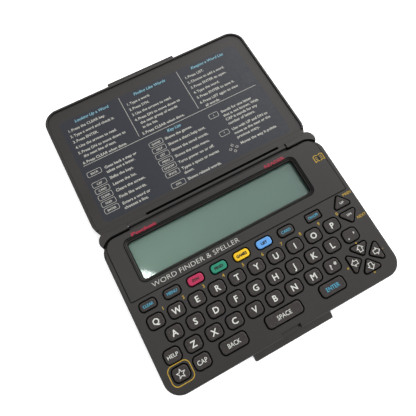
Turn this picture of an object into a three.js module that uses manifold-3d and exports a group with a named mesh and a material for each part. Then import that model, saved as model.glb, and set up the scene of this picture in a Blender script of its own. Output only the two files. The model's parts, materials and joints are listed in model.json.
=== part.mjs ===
// A clamshell pocket word finder, lying open: a keyboard base with a display,
// and a lid that swings over it on a hinge and carries a printed key guide.
// Millimetres, +Z up. The hinge runs along X, the keyboard faces -Y.

import * as THREE from "three";
import { mergeVertices } from "three/addons/utils/BufferGeometryUtils.js";
import Module from "manifold-3d";

const wasm = await Module();
wasm.setup();

// ---- The case as a whole ----
const sideMargin = 8.7; // side of the case to the outermost letter column
const frontMargin = 8.6; // front of the case to the space bar's row
const cornerRadius = 7.8;
const wall = 1.8;
const topSkin = 1.6; // thickness of the keyboard plate
const footHeight = 0.5;
const floorSkin = 1.5;
const partingZ = 6.0; // where the lower shell ends
const partingGap = 0.3;
const topEdge = 0.9; // bevel round the upper edge
const bottomEdge = 2.0; // bevel round the lower edge
const seatGap = 0.3; // between pieces that seat on or in each other
const weldLap = 0.5; // joined solids run this far into each other, and cuts this far out

// ---- The hinge ----
const rearWallToAxis = 2.1;
const axisBelowTop = 1.5;
const barrelRadius = 0.9;
const knuckleWidth = 16.5; // side of the case to the end of the barrel
const barrelWebDrop = 0.5; // the barrel's web starts this far below its axis
const barrelWebThickness = 1.1;
const pinRadius = 0.4;
const pinClearance = 0.1;
const pinEndCover = 1.5; // lid material beyond each end of the pin
const knuckleGap = 0.3; // along the axis, between barrel and knuckles
const sweepGap = 0.6; // between a turning knuckle and the case corner
const earRise = 1.4; // the corner ears stand this far above the axis
const earDrop = 5.4;
const earRadius = 4.4;
const earInset = 0.85;
const earSteps = 8;

// ---- The lid ----
const lidSideInset = 0.5; // the lid is this much narrower than the case at each side
const lidThickness = 3.33; // inner face to outer face
const innerFaceDrop = 2.65; // open lid: inner face below the axis
const lidSkin = 1.5;
const lidFreeRadius = 8.3;
const lidNeckY = 7.6; // where the lid's sides start to draw in
const lidNeckInset = 4.3;
const lidNeckRadius = 10;
const lidRearReach = 0.9; // the outer skin runs on under the barrel
const rimWidth = 1.2;
const rimRise = 0.8;
const rimEdge = 0.3;
const lidEdge = 1.2; // bevel round the outer face
const hingeBlockDepth = 6.0;
const slotLeftEnd = 10.2; // end of the barrel to the end of the slot behind it
const slotRightEnd = 2.5;
const slotWidth = 2.35;
const linerThickness = 1.2;

// ---- Finger tabs and catch ----
const tabWidth = 40.4;
const tabCentreX = -0.3;
const tabReach = 3.2;
const tabEdge = 0.4;
const lidTabSkin = 2.2;
const baseTabDrop = 1.3; // keyboard plate to the top of the tab
const baseTabBottom = 4.0;
const catchWidth = 9.8;
const catchSlot = 0.8;
const catchRecessDepth = 2.1;
const catchRecessDrop = 0.9;

// ---- The display ----
const screenHeight = 22.0; // outer edges of the sloped frame
const screenLeftMargin = 10.7;
const screenRightMargin = 16.7;
const screenRearMargin = 6.05; // from the hinge axis
const screenSlope = 1.15;
const screenRadius = 3.0;
const plateauRise = 0.35;
const titleStrip = 5.35; // display frame to the step in the plate
const plateauSideInset = 2.6;
const plateauRearInset = 0.5;
const plateauFrontRadius = 0.6;
const windowThickness = 1.0;
const windowLap = 1.6;
const lcdThickness = 0.9;
const lcdLap = 2.2;

// ---- The keys ----
const keyPitch = 10.4;
const rowPitch = 8.2;
const columnShift = 0.15; // the letter columns sit this far right of the middle
const stepToTopRow = 12.5;
const letterKey = { width: 7.3, depth: 5.9, radius: 1.9 };
const functionKey = { width: 7.7, depth: 4.0, radius: 1.5 };
const powerKey = { width: 7.4, depth: 3.6, radius: 0.6 };
const backKey = { width: 12.8, depth: 5.5, radius: 1.7 };
const spaceKey = { width: 18.2, depth: 5.5, radius: 1.7 };
const enterKey = { width: 12.4, depth: 5.5, radius: 1.7 };
const functionRowLift = 8.1; // above the top letter row
const backColumn = 2.52; // columns are counted in key pitches from the first letter
const spaceColumn = 5.01;
const enterColumn = 7.5;
const cardColumn = 7;
const powerColumn = 8.48;
const pageColumn = 9.97;
const padColumn = 9.53;
const keyRise = 0.5; // key tops above the keyboard plate
const powerKeyRise = 0.1;
const keyEdge = 0.45;
const keyClearance = 0.65;
const flangeWidth = 0.9;
const flangeThickness = 0.6;
const keyTravel = 0.7;
const pageKeyHalf = 4.8;
const pageUpLift = 5.4; // the flat sides of the page keys, above the top letter row
const pageDownLift = 2.6;
const pageKeyHeight = 6.1;
const padRow = 2.475; // counted in row pitches below the top letter row
const padHalfWidth = 8.3;
const padHalfDepth = 6.8;
const padSideHalf = 5.0; // half the flat side of each arrow key
const padPointX = 2.3; // how far the side keys' points stay from the centre
const padPointY = 1.0;
const triangleRadius = 0.8;

// ---- Inside ----
const boardThickness = 1.0;
const cellToBoard = 0.4;
const boardMargin = 1.0;
const matThickness = 0.7;
const cellRadius = 10;
const cellThickness = 3.2;
const cellGap = 1.6;
const bayMargin = 1.0;
const bayWall = 1.2;
const bayToAxis = 26;
const coverLap = 0.2; // the cover lies this far inside the floor's outer face
const coverThickness = 1.2;
const coverRadius = 3;
const footRadius = 3.2;
const footInset = 11;
const screwHeadRadius = 2.4;
const screwSink = 1.0;
const screwInset = 7;

// ---- Sizes that follow, from the floor up ----
const coverBottom = footHeight + coverLap;
const coverTop = coverBottom + coverThickness;
const cellBottom = coverTop + coverLap;
const boardZ = cellBottom + cellThickness + cellToBoard;
const boardTop = boardZ + boardThickness;
const matBottom = boardTop + seatGap;
const matTop = matBottom + matThickness;
const flangeBottom = matTop + seatGap + keyTravel; // a pressed key stops short of the mat
const flangeTop = flangeBottom + flangeThickness;
const plateUnder = flangeTop + seatGap;
const housingTop = plateUnder + topSkin;
const axisZ = housingTop - axisBelowTop;
const outerFaceDrop = innerFaceDrop + lidThickness;

// ---- Sizes that follow, across and from the hinge to the front ----
const letterColumns = 10;
const lastRow = 3;
const caseWidth = letterColumns * keyPitch + 2 * sideMargin;
const firstColumnX = (-letterColumns / 2) * keyPitch + columnShift;
const functionPitch = (cardColumn * keyPitch) / 6; // seven keys, from the first column to the card key's
const barrelLength = caseWidth - 2 * knuckleWidth;
const screenFront = screenRearMargin + screenHeight;
const plateauFront = screenFront + titleStrip;
const topRowToAxis = plateauFront + stepToTopRow;
const lidLength = topRowToAxis + lastRow * rowPitch + frontMargin; // axis to the case front
const lidReach = lidLength + tabReach;
const caseDepth = lidLength - rearWallToAxis;
// The open lid leans until the outer edge of its tab touches the table.
const lidSlant = Math.hypot(lidReach - tabEdge, outerFaceDrop);
const lidLean = Math.asin(axisZ / lidSlant) - Math.atan2(outerFaceDrop, lidReach - tabEdge);
const tabTopDrop = outerFaceDrop - lidTabSkin + tabEdge;
const openReach = lidReach * Math.cos(lidLean) - tabTopDrop * Math.sin(lidLean);
const axisY = (lidLength + tabReach - openReach) / 2; // puts the middle of the whole at Y = 0
const frontY = axisY - lidLength;
const rearY = axisY - rearWallToAxis;

const palette = {
  charcoal: new THREE.MeshStandardMaterial({ color: 0x474543, roughness: 0.55, metalness: 0 }),
  lidGrey: new THREE.MeshStandardMaterial({ color: 0x45423f, roughness: 0.55, metalness: 0 }),
  guideBlue: new THREE.MeshStandardMaterial({ color: 0x3c414c, roughness: 0.5, metalness: 0 }),
  keyBrown: new THREE.MeshStandardMaterial({ color: 0x3b3633, roughness: 0.6, metalness: 0 }),
  keyRed: new THREE.MeshStandardMaterial({ color: 0xc02650, roughness: 0.5, metalness: 0 }),
  keyGreen: new THREE.MeshStandardMaterial({ color: 0x1c9c78, roughness: 0.5, metalness: 0 }),
  keyYellow: new THREE.MeshStandardMaterial({ color: 0xf0be1e, roughness: 0.5, metalness: 0 }),
  keyBlue: new THREE.MeshStandardMaterial({ color: 0x5aa0e0, roughness: 0.5, metalness: 0 }),
  clear: new THREE.MeshStandardMaterial({ color: 0xb9c8c2, roughness: 0.1, opacity: 0.4, transparent: true }),
  display: new THREE.MeshStandardMaterial({ color: 0x6f8a7d, roughness: 0.3, metalness: 0 }),
  board: new THREE.MeshStandardMaterial({ color: 0x2c5a3a, roughness: 0.5, metalness: 0 }),
  mat: new THREE.MeshStandardMaterial({ color: 0x8d8d8a, roughness: 0.8, metalness: 0 }),
  steel: new THREE.MeshStandardMaterial({ color: 0xb4b6b8, roughness: 0.3, metalness: 1 }),
};

// ---- Outlines ----
// An outline is a list of corners, counter-clockwise, each { x, y, r } with its rounding.

function rectangle(centreX, centreY, width, depth, r) {
  const w = width / 2;
  const d = depth / 2;
  return [
    { x: centreX - w, y: centreY - d, r },
    { x: centreX + w, y: centreY - d, r },
    { x: centreX + w, y: centreY + d, r },
    { x: centreX - w, y: centreY + d, r },
  ];
}

// Moves every side of a convex outline outwards by the given distance.
function grow(corners, distance) {
  const count = corners.length;
  return corners.map((corner, i) => {
    const before = corners[(i + count - 1) % count];
    const after = corners[(i + 1) % count];
    const a = new THREE.Vector2(corner.x - before.x, corner.y - before.y).normalize();
    const b = new THREE.Vector2(after.x - corner.x, after.y - corner.y).normalize();
    const bisector = new THREE.Vector2(a.y + b.y, -a.x - b.x);
    bisector.multiplyScalar(2 / bisector.lengthSq());
    return {
      x: corner.x + bisector.x * distance,
      y: corner.y + bisector.y * distance,
      r: Math.max(corner.r + distance, 0.02),
    };
  });
}

const arcStep = 0.35; // radians

// Points along a rounded outline; the same corners always give the same number of points.
function trace(corners) {
  const count = corners.length;
  const points = [];
  corners.forEach((corner, i) => {
    const before = corners[(i + count - 1) % count];
    const after = corners[(i + 1) % count];
    const here = new THREE.Vector2(corner.x, corner.y);
    const a = new THREE.Vector2(corner.x - before.x, corner.y - before.y).normalize();
    const b = new THREE.Vector2(after.x - corner.x, after.y - corner.y).normalize();
    const turn = Math.acos(THREE.MathUtils.clamp(a.dot(b), -1, 1));
    const start = here.clone().addScaledVector(a, -corner.r * Math.tan(turn / 2));
    const centre = start.clone().add(new THREE.Vector2(-a.y, a.x).multiplyScalar(corner.r));
    const first = Math.atan2(start.y - centre.y, start.x - centre.x);
    const steps = Math.max(2, Math.round(turn / arcStep));
    for (let k = 0; k <= steps; k++) {
      const angle = first + (turn * k) / steps;
      points.push(new THREE.Vector2(
        centre.x + corner.r * Math.cos(angle),
        centre.y + corner.r * Math.sin(angle),
      ));
    }
  });
  return points;
}

// ---- Solids ----

function toSolid(geometry) {
  const bare = geometry.clone();
  bare.deleteAttribute("normal");
  bare.deleteAttribute("uv");
  const merged = mergeVertices(bare, 1e-4);
  return new wasm.Manifold(new wasm.Mesh({
    numProp: 3,
    vertProperties: new Float32Array(merged.attributes.position.array),
    triVerts: new Uint32Array(merged.index.array),
  }));
}

// A closed body through a pile of convex outlines, each [corners, z], from the bottom up.
function stack(...levels) {
  const rings = levels.map(([corners, z]) => trace(corners).map((p) => [p.x, p.y, z]));
  const count = rings[0].length;
  const index = [];
  for (let i = 2; i < count; i++) {
    index.push(0, i, i - 1);
  }
  for (let level = 0; level + 1 < rings.length; level++) {
    for (let i = 0; i < count; i++) {
      const low = level * count + i;
      const next = level * count + ((i + 1) % count);
      index.push(low, next, next + count, low, next + count, low + count);
    }
  }
  const top = (rings.length - 1) * count;
  for (let i = 2; i < count; i++) {
    index.push(top, top + i - 1, top + i);
  }
  return new wasm.Manifold(new wasm.Mesh({
    numProp: 3,
    vertProperties: new Float32Array(rings.flat(2)),
    triVerts: new Uint32Array(index),
  }));
}

function block(corners, bottom, top) {
  return stack([corners, bottom], [corners, top]);
}

function box(x0, x1, y0, y1, z0, z1) {
  const geometry = new THREE.BoxGeometry(x1 - x0, y1 - y0, z1 - z0);
  return toSolid(geometry.translate((x0 + x1) / 2, (y0 + y1) / 2, (z0 + z1) / 2));
}

function disc(centreX, centreY, radius, bottom, top, sides = 32) {
  const geometry = new THREE.CylinderGeometry(radius, radius, top - bottom, sides);
  return toSolid(geometry.rotateX(Math.PI / 2).translate(centreX, centreY, (bottom + top) / 2));
}

// A round bar along X.
function bar(x0, x1, y, z, radius, sides = 20) {
  const geometry = new THREE.CylinderGeometry(radius, radius, x1 - x0, sides);
  return toSolid(geometry.rotateZ(Math.PI / 2).translate((x0 + x1) / 2, y, z));
}

// A closed (y, z) section carried along X.
function rail(section, x0, x1) {
  const shape = new THREE.Shape(section.map(([y, z]) => new THREE.Vector2(y, z)));
  const geometry = new THREE.ExtrudeGeometry(shape, { depth: x1 - x0, bevelEnabled: false });
  // the shape's x and y become Y and Z, and its depth becomes X
  const turned = new THREE.Matrix4().set(0, 0, 1, x0, 1, 0, 0, 0, 0, 1, 0, 0, 0, 0, 0, 1);
  return toSolid(geometry.applyMatrix4(turned));
}

function join(...solids) {
  return solids.reduce((all, next) => all.add(next));
}

function cut(body, ...tools) {
  return tools.reduce((left, tool) => left.subtract(tool), body);
}

function place(group, name, solid, material) {
  const made = solid.getMesh();
  const geometry = new THREE.BufferGeometry();
  geometry.setAttribute("position", new THREE.BufferAttribute(made.vertProperties, 3));
  geometry.setIndex(new THREE.BufferAttribute(made.triVerts, 1));
  const mesh = new THREE.Mesh(geometry, material);
  mesh.name = name;
  group.add(mesh);
  return mesh;
}

// ---- Shared outlines ----
const caseCentreY = (frontY + rearY) / 2;
const caseOutline = rectangle(0, caseCentreY, caseWidth, caseDepth, cornerRadius);
const screenOutline = rectangle(
  (screenLeftMargin - screenRightMargin) / 2,
  axisY - (screenRearMargin + screenFront) / 2,
  caseWidth - screenLeftMargin - screenRightMargin,
  screenHeight,
  screenRadius,
);
const tabFrom = tabCentreX - tabWidth / 2;
const tabTo = tabCentreX + tabWidth / 2;
const catchFrom = tabCentreX - catchWidth / 2;
const catchTo = tabCentreX + catchWidth / 2;

// ---- The keys: name, outline, how far they stand up, and their colour ----
const keys = [];

function addKey(name, corners, material = palette.keyBrown, rise = keyRise) {
  keys.push({ name: "key_" + name, corners, material, rise });
}

function columnX(column) {
  return firstColumnX + column * keyPitch;
}

function rowToAxis(row) {
  return topRowToAxis + row * rowPitch;
}

function keyOutline(column, toAxis, size) {
  return rectangle(columnX(column), axisY - toAxis, size.width, size.depth, size.radius);
}

function layOutLetters() {
  const rows = ["q w e r t y u i o p", "a s d f g h j k l comma", "help z x c v b n m question"];
  const starts = [0, 0.5, 0];
  rows.forEach((row, r) => {
    row.split(" ").forEach((name, i) => {
      addKey(name, keyOutline(starts[r] + i, rowToAxis(r), letterKey));
    });
  });
  addKey("star", keyOutline(0, rowToAxis(lastRow), letterKey));
  addKey("cap", keyOutline(1, rowToAxis(lastRow), letterKey));
  addKey("back", keyOutline(backColumn, rowToAxis(lastRow), backKey));
  addKey("space", keyOutline(spaceColumn, rowToAxis(lastRow), spaceKey));
  addKey("enter", keyOutline(enterColumn, rowToAxis(lastRow), enterKey));
}

function layOutFunctions() {
  const toAxis = topRowToAxis - functionRowLift;
  const row = [
    ["clear", palette.keyBrown],
    ["menu", palette.keyBrown],
    ["red", palette.keyRed],
    ["green", palette.keyGreen],
    ["yellow", palette.keyYellow],
    ["blue", palette.keyBlue],
    ["card", palette.keyBrown],
  ];
  row.forEach(([name, material], i) => {
    addKey(name, keyOutline((i * functionPitch) / keyPitch, toAxis, functionKey), material);
  });
  addKey("power", keyOutline(powerColumn, toAxis, powerKey), palette.keyBrown, powerKeyRise);
}

// A triangle with a flat side of the given half length and a point at the given height.
function triangle(x, y, half, height, quarterTurns) {
  const flat = [[-half, 0], [half, 0], [0, height]];
  const middle = new THREE.Vector2();
  return flat.map(([u, v]) => {
    const turned = new THREE.Vector2(u, v).rotateAround(middle, (quarterTurns * Math.PI) / 2);
    return { x: x + turned.x, y: y + turned.y, r: triangleRadius };
  });
}

function layOutArrows() {
  const pageX = columnX(pageColumn);
  const padX = columnX(padColumn);
  const padY = axisY - rowToAxis(padRow);
  const upY = axisY - topRowToAxis + pageUpLift;
  const downY = axisY - topRowToAxis + pageDownLift;
  const sidewaysHeight = padHalfWidth - padPointX;
  const upHeight = padHalfDepth - padPointY;
  addKey("page_up", triangle(pageX, upY, pageKeyHalf, pageKeyHeight, 0));
  addKey("page_down", triangle(pageX, downY, pageKeyHalf, pageKeyHeight, 2));
  addKey("arrow_up", triangle(padX, padY + padHalfDepth, padSideHalf, upHeight, 2));
  addKey("arrow_down", triangle(padX, padY - padHalfDepth, padSideHalf, upHeight, 0));
  addKey("arrow_left", triangle(padX - padHalfWidth, padY, padSideHalf, sidewaysHeight, 3));
  addKey("arrow_right", triangle(padX + padHalfWidth, padY, padSideHalf, sidewaysHeight, 1));
}

layOutLetters();
layOutFunctions();
layOutArrows();

function keySolid({ corners, rise }) {
  const flange = grow(corners, flangeWidth);
  const top = housingTop + rise;
  return stack(
    [flange, flangeBottom],
    [flange, flangeTop],
    [corners, flangeTop],
    [corners, top - keyEdge],
    [grow(corners, -keyEdge), top],
  );
}

// ---- The upper shell ----
function topHousing() {
  const plateauHalf = caseWidth / 2 - plateauSideInset;
  const plateauRear = rearY - plateauRearInset;
  const plateau = [
    { x: -plateauHalf, y: axisY - plateauFront, r: plateauFrontRadius },
    { x: plateauHalf, y: axisY - plateauFront, r: plateauFrontRadius },
    { x: plateauHalf, y: plateauRear, r: cornerRadius - plateauSideInset },
    { x: -plateauHalf, y: plateauRear, r: cornerRadius - plateauSideInset },
  ];
  const shell = stack(
    [caseOutline, partingZ + partingGap],
    [caseOutline, housingTop - topEdge],
    [grow(caseOutline, -topEdge), housingTop],
  );
  const raised = stack(
    [plateau, plateUnder + seatGap],
    [plateau, housingTop],
    [grow(plateau, -plateauRise), housingTop + plateauRise],
  );
  const hollow = block(grow(caseOutline, -wall), 0, plateUnder);
  const opening = grow(screenOutline, -screenSlope);
  const above = housingTop + plateauRise + seatGap;
  const frame = stack(
    [opening, plateUnder - seatGap],
    [opening, housingTop + plateauRise - screenSlope],
    [screenOutline, housingTop + plateauRise],
    [screenOutline, above],
  );
  const keyHoles = keys.map(({ corners }) => {
    return block(grow(corners, keyClearance), plateUnder - seatGap, above);
  });
  const catchRecess = box(
    catchFrom,
    catchTo,
    frontY - seatGap,
    frontY + catchRecessDepth,
    housingTop - catchRecessDrop,
    above,
  );
  return cut(
    join(shell, raised, hingeBarrel(), frontTab(partingZ + partingGap, housingTop - baseTabDrop)),
    hollow,
    frame,
    catchRecess,
    bar(-caseWidth / 2, caseWidth / 2, axisY, axisZ, pinRadius + pinClearance),
    ...keyHoles,
  );
}

function hingeBarrel() {
  const half = barrelLength / 2;
  const webTop = axisZ - barrelWebDrop;
  const web = box(-half, half, rearY - wall / 2, axisY, webTop - barrelWebThickness, webTop);
  return join(bar(-half, half, axisY, axisZ, barrelRadius), web);
}

function frontTab(bottom, top) {
  const outer = frontY - tabReach;
  const section = [
    [frontY + wall / 2, bottom],
    [frontY + wall / 2, top],
    [frontY, top],
    [outer, top - tabReach / 2],
    [outer, bottom],
  ];
  return rail(section, tabFrom, tabTo);
}

// ---- The lower shell ----
const cellPitch = 2 * cellRadius + cellGap;
const bayWidth = cellPitch + 2 * cellRadius + 2 * bayMargin;
const bayDepth = 2 * cellRadius + 2 * bayMargin;
const bayY = axisY - bayToAxis;
const bayOutline = rectangle(0, bayY, bayWidth, bayDepth, coverRadius);
const floorTop = footHeight + floorSkin;

function cornerSpots(inset) {
  const x = caseWidth / 2 - inset;
  return [
    [-x, frontY + inset],
    [x, frontY + inset],
    [-x, rearY - inset],
    [x, rearY - inset],
  ];
}

function bottomHousing() {
  const shell = stack(
    [grow(caseOutline, -bottomEdge), footHeight],
    [grow(caseOutline, -bottomEdge / 3), footHeight + bottomEdge / 3],
    [caseOutline, footHeight + bottomEdge],
    [caseOutline, partingZ],
  );
  const hollow = stack(
    [grow(caseOutline, -bottomEdge - wall), floorTop],
    [grow(caseOutline, -wall), floorTop + bottomEdge],
    [grow(caseOutline, -wall), partingZ + seatGap],
  );
  const bayTop = boardZ - seatGap;
  const bayRing = cut(
    block(grow(bayOutline, bayWall), footHeight + floorSkin / 2, bayTop),
    block(bayOutline, 0, bayTop + weldLap),
  );
  const feet = cornerSpots(footInset).map(([x, y]) => {
    return disc(x, y, footRadius, 0, footHeight + floorSkin / 2);
  });
  const posts = cornerSpots(screwInset).map(([x, y]) => {
    return disc(x, y, screwHeadRadius + bayWall, footHeight + floorSkin / 2, bayTop);
  });
  const heads = cornerSpots(screwInset).map(([x, y]) => {
    return disc(x, y, screwHeadRadius, 0, footHeight + screwSink);
  });
  const tab = frontTab(baseTabBottom, partingZ);
  return cut(
    join(cut(shell, hollow), bayRing, ...feet, ...posts, cut(tab, hollow)),
    block(bayOutline, 0, floorTop + seatGap),
    ...heads,
  );
}

// ---- The lid, in its own frame: the hinge axis is the origin, +Y runs to the free edge ----
const lidHalf = caseWidth / 2 - lidSideInset;
const lidOutline = [
  { x: -lidHalf + lidNeckInset, y: -lidRearReach, r: lidRearReach },
  { x: lidHalf - lidNeckInset, y: -lidRearReach, r: lidRearReach },
  { x: lidHalf, y: lidNeckY, r: lidNeckRadius },
  { x: lidHalf, y: lidLength, r: lidFreeRadius },
  { x: -lidHalf, y: lidLength, r: lidFreeRadius },
  { x: -lidHalf, y: lidNeckY, r: lidNeckRadius },
];
const rimTop = -innerFaceDrop + rimRise;
const skinTop = -outerFaceDrop + lidSkin;

// The round ear of one knuckle fills the gap round the case's rear corner; side is -1 or 1.
// Its radius about the axis follows that corner, so it clears the case as it turns.
function ear(side) {
  const cornerX = caseWidth / 2 - cornerRadius;
  const cornerDistance = rearWallToAxis + cornerRadius;
  const swept = cornerRadius + sweepGap;
  const end = caseWidth / 2 - earInset;
  const profile = [new THREE.Vector2(0, barrelLength / 2 + knuckleGap)];
  profile.push(new THREE.Vector2(rearWallToAxis - sweepGap, barrelLength / 2 + knuckleGap));
  for (let k = 0; k <= earSteps; k++) {
    const x = cornerX + ((end - cornerX) * k) / earSteps;
    profile.push(new THREE.Vector2(cornerDistance - Math.sqrt(swept ** 2 - (x - cornerX) ** 2), x));
  }
  profile.push(new THREE.Vector2(0, end));
  const turned = toSolid(new THREE.LatheGeometry(profile, 32).rotateZ((-side * Math.PI) / 2));
  const middle = side * (end - earRadius);
  const inner = (side * barrelLength) / 2;
  const plan = join(
    disc(middle, -rearWallToAxis, earRadius, -earDrop, earRise, 40),
    box(Math.min(inner, middle), Math.max(inner, middle), -earRadius, barrelRadius, -earDrop, earRise),
  );
  return turned.intersect(plan);
}

// The neck under the ear joins it to the lid's outer skin.
function neck(side) {
  const inner = side * (barrelLength / 2 + knuckleGap);
  const end = side * (lidHalf - lidNeckInset - lidRearReach);
  const rear = barrelRadius + seatGap;
  return box(Math.min(inner, end), Math.max(inner, end), -lidRearReach, rear, skinTop - weldLap, 0);
}

function lidShell() {
  const half = caseWidth / 2;
  const skin = stack(
    [grow(lidOutline, -lidEdge), -outerFaceDrop],
    [grow(lidOutline, -lidEdge / 3), -outerFaceDrop + lidEdge / 3],
    [lidOutline, -outerFaceDrop + lidEdge],
    [lidOutline, rimTop - rimEdge],
    [grow(lidOutline, -rimEdge), rimTop],
  );
  const tray = block(grow(lidOutline, -rimWidth), skinTop, 0);
  const behind = box(-half, half, -lidRearReach - weldLap, hingeBlockDepth, skinTop, 0);
  const hingeBlock = block(lidOutline, skinTop - weldLap, -innerFaceDrop)
    .intersect(box(-half, half, barrelRadius + seatGap, hingeBlockDepth, -outerFaceDrop, 0));
  const slotFrom = -barrelLength / 2 + slotLeftEnd;
  const slotTo = barrelLength / 2 - slotRightEnd;
  const slot = box(slotFrom, slotTo, 0, barrelRadius + slotWidth, skinTop, 0);
  const shell = join(
    cut(skin, tray, behind),
    cut(hingeBlock, slot),
    ear(-1),
    ear(1),
    neck(-1),
    neck(1),
    lidTab(),
  );
  const bore = bar(-half + pinEndCover, half - pinEndCover, 0, 0, pinRadius + pinClearance);
  return cut(shell, bore);
}

function lidTab() {
  const outer = -outerFaceDrop;
  const top = outer + lidTabSkin;
  const section = [
    [lidLength - rimWidth, outer + tabEdge],
    [lidReach - tabEdge, outer],
    [lidReach, outer + tabEdge],
    [lidReach, top - tabEdge],
    [lidReach - tabEdge, top],
    [lidLength - rimWidth, top],
  ];
  const slotStart = lidLength + seatGap;
  const slot = box(catchFrom, catchTo, slotStart, slotStart + catchSlot, outer - weldLap, top + weldLap);
  return cut(rail(section, tabFrom, tabTo), slot);
}

function lidLiner() {
  const plate = block(
    grow(lidOutline, -rimWidth - seatGap),
    -innerFaceDrop - linerThickness,
    -innerFaceDrop,
  );
  const linerStart = hingeBlockDepth + seatGap;
  return cut(plate, box(-lidHalf, lidHalf, -lidRearReach - weldLap, linerStart, -outerFaceDrop, 0));
}

// ---- Putting it together ----
const device = new THREE.Group();
const lid = new THREE.Group();
lid.position.set(0, axisY, axisZ);
lid.rotation.x = -lidLean;
device.add(lid);

place(device, "top_housing", topHousing(), palette.charcoal);
place(device, "bottom_housing", bottomHousing(), palette.charcoal);
place(lid, "lid_shell", lidShell(), palette.lidGrey);
place(lid, "lid_liner", lidLiner(), palette.guideBlue);

const pinHalf = caseWidth / 2 - pinEndCover - seatGap;
place(device, "hinge_pin", bar(-pinHalf, pinHalf, axisY, axisZ, pinRadius, 16), palette.steel);

const windowOutline = grow(screenOutline, windowLap - screenSlope);
const windowTop = plateUnder - seatGap;
const windowBottom = windowTop - windowThickness;
place(device, "display_window", block(windowOutline, windowBottom, windowTop), palette.clear);

const lcdOutline = grow(screenOutline, lcdLap - screenSlope);
const lcdTop = windowBottom - seatGap;
place(device, "lcd_module", block(lcdOutline, lcdTop - lcdThickness, lcdTop), palette.display);
place(device, "circuit_board", circuitBoard(), palette.board);
place(device, "keypad_mat", keypadMat(), palette.mat);

function circuitBoard() {
  const outline = grow(caseOutline, -wall - boardMargin);
  const posts = cornerSpots(screwInset).map(([x, y]) => {
    return disc(x, y, screwHeadRadius + bayWall + seatGap, boardZ - weldLap, boardTop + weldLap);
  });
  return cut(block(outline, boardZ, boardTop), ...posts);
}

function keypadMat() {
  const from = frontY + wall + boardMargin;
  const to = axisY - screenFront - lcdLap;
  const width = caseWidth - 2 * (wall + boardMargin);
  const outline = rectangle(0, (from + to) / 2, width, to - from, cornerRadius - wall - boardMargin);
  return block(outline, matBottom, matTop);
}

const coverOutline = grow(bayOutline, -seatGap);
place(device, "battery_cover", block(coverOutline, coverBottom, coverTop), palette.charcoal);
[["coin_cell_left", -1], ["coin_cell_right", 1]].forEach(([name, side]) => {
  const x = (side * cellPitch) / 2;
  const cell = disc(x, bayY, cellRadius, cellBottom, cellBottom + cellThickness, 40);
  place(device, name, cell, palette.steel);
});

keys.forEach((key) => place(device, key.name, keySolid(key), key.material));

export default device;
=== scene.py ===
import bmesh
import bpy
import json
import math
from mathutils import Matrix, Vector


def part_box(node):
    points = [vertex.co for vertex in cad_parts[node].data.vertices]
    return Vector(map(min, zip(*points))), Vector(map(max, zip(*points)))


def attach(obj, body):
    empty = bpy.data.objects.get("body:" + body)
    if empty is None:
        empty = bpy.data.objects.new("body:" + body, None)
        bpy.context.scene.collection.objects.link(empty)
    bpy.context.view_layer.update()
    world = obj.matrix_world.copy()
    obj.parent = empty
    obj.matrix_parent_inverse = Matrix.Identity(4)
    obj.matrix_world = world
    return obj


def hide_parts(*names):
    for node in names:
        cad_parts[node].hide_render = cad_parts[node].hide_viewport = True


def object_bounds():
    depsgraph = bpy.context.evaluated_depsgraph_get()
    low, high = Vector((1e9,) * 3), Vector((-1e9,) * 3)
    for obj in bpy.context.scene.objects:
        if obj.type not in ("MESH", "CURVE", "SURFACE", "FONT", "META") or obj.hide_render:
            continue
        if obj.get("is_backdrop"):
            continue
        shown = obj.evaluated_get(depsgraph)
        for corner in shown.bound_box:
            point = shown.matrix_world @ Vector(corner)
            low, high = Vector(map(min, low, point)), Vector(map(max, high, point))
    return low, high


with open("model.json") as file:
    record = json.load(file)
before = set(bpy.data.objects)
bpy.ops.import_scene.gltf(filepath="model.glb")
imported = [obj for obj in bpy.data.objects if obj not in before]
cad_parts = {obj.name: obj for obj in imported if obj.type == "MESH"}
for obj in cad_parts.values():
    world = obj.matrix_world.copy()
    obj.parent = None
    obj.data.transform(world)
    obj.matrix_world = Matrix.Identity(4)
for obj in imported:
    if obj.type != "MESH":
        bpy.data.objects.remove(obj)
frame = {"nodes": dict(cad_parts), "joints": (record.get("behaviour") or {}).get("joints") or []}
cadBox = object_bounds()
mm = 0.001  # everything below is in millimetres, and meshes are made in metres


def boxOf(node):
    low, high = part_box(node)
    return low / mm, high / mm


# ---- places taken from the frame ----
hinge = [j for j in frame["joints"] if j["name"] == "lid_hinge"][0]
axisY = hinge["pos_m"][1] / mm
axisZ = hinge["pos_m"][2] / mm
lidLean = math.radians(hinge["range_deg"][1] - 180)
lidPlace = Matrix.Translation((0, axisY * mm, axisZ * mm)) @ Matrix.Rotation(-lidLean, 4, "X")
shellLow, shellHigh = boxOf("bottom_housing")
caseHalf = shellHigh.x
rearY = shellHigh.y
keyNames = [name for name in frame["nodes"] if name.startswith("key_")]

case = {
    "tabReach": 3.2,
    "cornerRadius": 7.8,
    "wall": 1.8,
    "plateThickness": 1.6,
    "partingZ": 6.0,
    "partingGap": 0.3,
    "edgeRound": 1.0,
    "bottomRound": 2.0,
    "footHeight": 0.5,
    "floorThickness": 1.5,
    "keyRise": 0.5,
}
frontY = shellLow.y + case["tabReach"]
plateTop = boxOf("key_q")[1].z - case["keyRise"]
plateUnder = plateTop - case["plateThickness"]


# ---- outlines: lists of (x, y, rounding), counter-clockwise ----
def rectangle(x0, x1, y0, y1, rounding):
    return [(x0, y0, rounding), (x1, y0, rounding), (x1, y1, rounding), (x0, y1, rounding)]


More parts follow.
